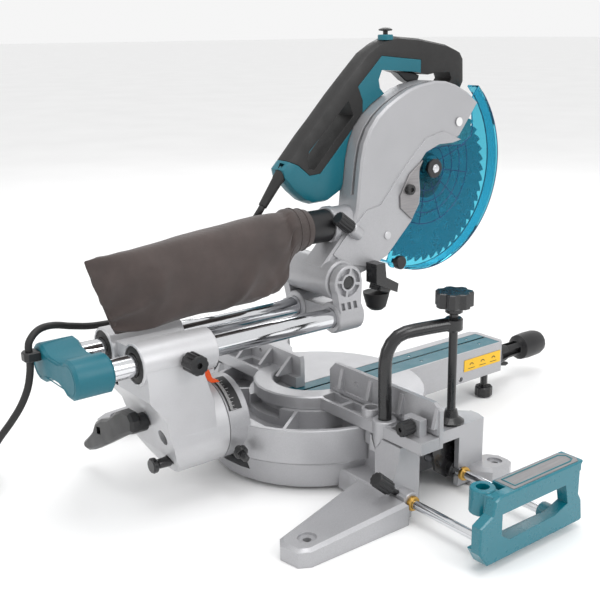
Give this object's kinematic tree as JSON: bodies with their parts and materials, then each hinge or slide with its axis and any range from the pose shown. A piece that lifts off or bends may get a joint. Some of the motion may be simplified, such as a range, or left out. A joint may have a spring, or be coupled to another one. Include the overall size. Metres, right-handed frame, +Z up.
{
  "type": "slide compound mitre saw",
  "caption": "Bench-top slide compound mitre saw with twin slide poles, dust bag, vertical vise and extension wings, head raised.",
  "frame": {"origin": "where the mitre axis meets the bench, under the central boss of the base", "axes": "+X to the operator's right, +Y towards the back of the saw, +Z up"},
  "size_m": [0.61, 0.882, 0.5014],
  "materials": {
    "painted_casting": "satin paint with a fine speckle over cast aluminium",
    "light_painted_arm": "satin paint over cast aluminium",
    "machined_plate": "plain brushed plate",
    "teal_plastic": "moulded, low gloss",
    "teal_casting": "gloss paint over cast aluminium",
    "clear_teal_plastic": "clear tinted, polished",
    "black_plastic": "moulded, fine grain",
    "blackened_steel": "black oxide and paint",
    "black_rubber": "soft, dull",
    "chrome_steel": "hard chrome, polished",
    "ground_steel": "ground and brushed",
    "brass": "turned",
    "bag_cloth": "close woven cloth",
    "orange_plastic": "moulded"
  },
  "bodies": {
    "base": {"base_casting": "painted_casting", "rod_bracket_left": "blackened_steel", "fence_casting": "painted_casting", "rod_plug_rear_left": "brass", "rod_plug_front_left": "brass", "cord_free": "black_rubber", "cord_coil": "black_rubber", "mains_plug": "black_plastic"},
    "sliding_fence": {"fence_sliding_left": "painted_casting"},
    "fence_knob": {"fence_lock_screw": "black_plastic"},
    "vise_arm": {"vise_post": "blackened_steel"},
    "vise_clamp": {"vise_screw": "blackened_steel"},
    "left_wing": {"wing_left": "teal_casting", "wing_plate_left": "machined_plate", "wing_rod_rear_left": "chrome_steel", "wing_rod_front_left": "chrome_steel"},
    "right_wing": {"wing_right": "teal_casting", "wing_rod_rear_right": "chrome_steel", "wing_rod_front_right": "chrome_steel"},
    "wing_knob": {"wing_lock_screw_left": "black_plastic"},
    "turn": {"turn_base": "painted_casting", "kerf_board_left": "teal_plastic", "kerf_board_right": "teal_plastic", "bevel_scale": "black_plastic", "bevel_stop_bolt": "blackened_steel"},
    "grip": {"mitre_grip": "black_plastic"},
    "index_lever": {"mitre_lock_lever": "black_plastic"},
    "arm_foot": {"arm_foot_screw": "blackened_steel"},
    "bevel": {"bevel_arm": "light_painted_arm", "bevel_pointer": "orange_plastic"},
    "bevel_clamp": {"bevel_lever": "black_plastic"},
    "release_pin": {"bevel_release_pin": "blackened_steel"},
    "slide_knob": {"slide_lock_screw": "black_plastic"},
    "slider": {"slide_pole_left": "chrome_steel", "slide_pole_right": "chrome_steel", "pole_end_cap": "teal_plastic", "carriage": "painted_casting", "chop_pivot_pin": "blackened_steel", "cord_clip": "black_plastic", "cord_upper": "black_rubber"},
    "head": {"blade_case": "painted_casting", "centre_cover": "machined_plate", "cover_screw": "blackened_steel", "motor_housing": "teal_plastic", "handle_shell": "teal_plastic", "handle_overmould": "black_rubber", "dust_nozzle": "black_plastic", "dust_bag": "bag_cloth", "guide_bracket": "blackened_steel", "dust_guide": "black_rubber", "guard_hub_bolt": "blackened_steel", "cord_guard": "black_rubber"},
    "depth_screw": {"depth_stop_screw": "black_plastic"},
    "guard": {"blade_guard": "clear_teal_plastic", "guard_roller": "black_plastic"},
    "blade": {"saw_blade": "ground_steel", "arbor_spindle": "ground_steel", "arbor_flange": "blackened_steel"},
    "switch": {"trigger": "black_plastic"},
    "lock_button": {"lock_off_button": "black_plastic"}
  },
  "joints": [
    {"name": "fence_slide", "type": "slide", "parent": "base", "child": "sliding_fence", "axis": [-1, 0, 0], "range_m": [0, 0.025]},
    {"name": "fence_knob_turn", "type": "hinge", "parent": "base", "child": "fence_knob", "pos_m": [-0.208, 0.03, 0.102], "axis": [0, 1, 0], "range_deg": [-90, 0]},
    {"name": "vise_height", "type": "slide", "parent": "base", "child": "vise_arm", "axis": [0, 0, 1], "range_m": [0, 0.055]},
    {"name": "vise_feed", "type": "slide", "parent": "vise_arm", "child": "vise_clamp", "axis": [0, 0, 1], "range_m": [0, 0.05]},
    {"name": "left_wing_slide", "type": "slide", "parent": "base", "child": "left_wing", "axis": [-1, 0, 0], "range_m": [-0.08, 0]},
    {"name": "right_wing_slide", "type": "slide", "parent": "base", "child": "right_wing", "axis": [1, 0, 0], "range_m": [0, 0.08]},
    {"name": "wing_knob_turn", "type": "hinge", "parent": "base", "child": "wing_knob", "pos_m": [-0.206, 0.049, 0.03], "axis": [0, 0.7507, 0.6606], "range_deg": [-90, 0]},
    {"name": "mitre", "type": "hinge", "parent": "base", "child": "turn", "pos_m": [0, 0, 0], "axis": [0, 0, 1], "range_deg": [-45, 50], "deforming": ["cord_free"]},
    {"name": "grip_turn", "type": "hinge", "parent": "turn", "child": "grip", "pos_m": [0, -0.4, 0.046], "axis": [0, 1, 0], "range_deg": [-90, 90]},
    {"name": "index_lever_press", "type": "hinge", "parent": "turn", "child": "index_lever", "pos_m": [0.01, -0.304, 0.0274], "axis": [1, 0, 0], "range_deg": [0, 6], "stiffness_Nm_per_rad": 0.6, "springref_deg": -20.05},
    {"name": "arm_foot_feed", "type": "slide", "parent": "turn", "child": "arm_foot", "axis": [0, 0, 1], "range_m": [0, 0.008]},
    {"name": "bevel", "type": "hinge", "parent": "turn", "child": "bevel", "pos_m": [0, 0.15, 0.078], "axis": [0, 1, 0], "range_deg": [-20, 5]},
    {"name": "bevel_clamp_turn", "type": "hinge", "parent": "bevel", "child": "bevel_clamp", "pos_m": [0, 0.24, 0.096], "axis": [0, 1, 0], "range_deg": [-36, 0]},
    {"name": "release_pin_pull", "type": "slide", "parent": "bevel", "child": "release_pin", "axis": [0, 1, 0], "range_m": [0, 0.008], "stiffness_N_per_m": 500, "springref_m": -0.006},
    {"name": "slide_knob_turn", "type": "hinge", "parent": "bevel", "child": "slide_knob", "pos_m": [-0.06, 0.206, 0.1755], "axis": [1, 0, 0], "range_deg": [-90, 0]},
    {"name": "slide", "type": "slide", "parent": "bevel", "child": "slider", "axis": [0, 1, 0], "range_m": [-0.028, 0.15], "deforming": ["cord_free"]},
    {"name": "chop", "type": "hinge", "parent": "slider", "child": "head", "pos_m": [0, -0.014, 0.2193], "axis": [1, 0, 0], "range_deg": [0, 42], "stiffness_Nm_per_rad": 14, "springref_deg": -74.48, "deforming": ["cord_upper"]},
    {"name": "depth_screw_turn", "type": "hinge", "parent": "head", "child": "depth_screw", "pos_m": [-0.032, -0.036, 0.277], "axis": [0, 0.8, 0.6], "range_deg": [-90, 0]},
    {"name": "guard_swing", "type": "hinge", "parent": "head", "child": "guard", "pos_m": [0, -0.1735, 0.334], "axis": [1, 0, 0], "range_deg": [-98.5, 0.5]},
    {"name": "blade_spin", "type": "hinge", "parent": "head", "child": "blade", "pos_m": [0, -0.183, 0.3184], "axis": [1, 0, 0], "continuous": true},
    {"name": "trigger_press", "type": "slide", "parent": "head", "child": "switch", "axis": [0, 0, 1], "range_m": [0, 0.005], "stiffness_N_per_m": 900, "springref_m": -0.004},
    {"name": "lock_button_press", "type": "slide", "parent": "head", "child": "lock_button", "axis": [0, 0, -1], "range_m": [0, 0.0035], "stiffness_N_per_m": 900, "springref_m": -0.003}
  ],
  "couplings": [
    {"joint": "guard_swing", "follows": "chop", "ratio": -2.3333}
  ]
}
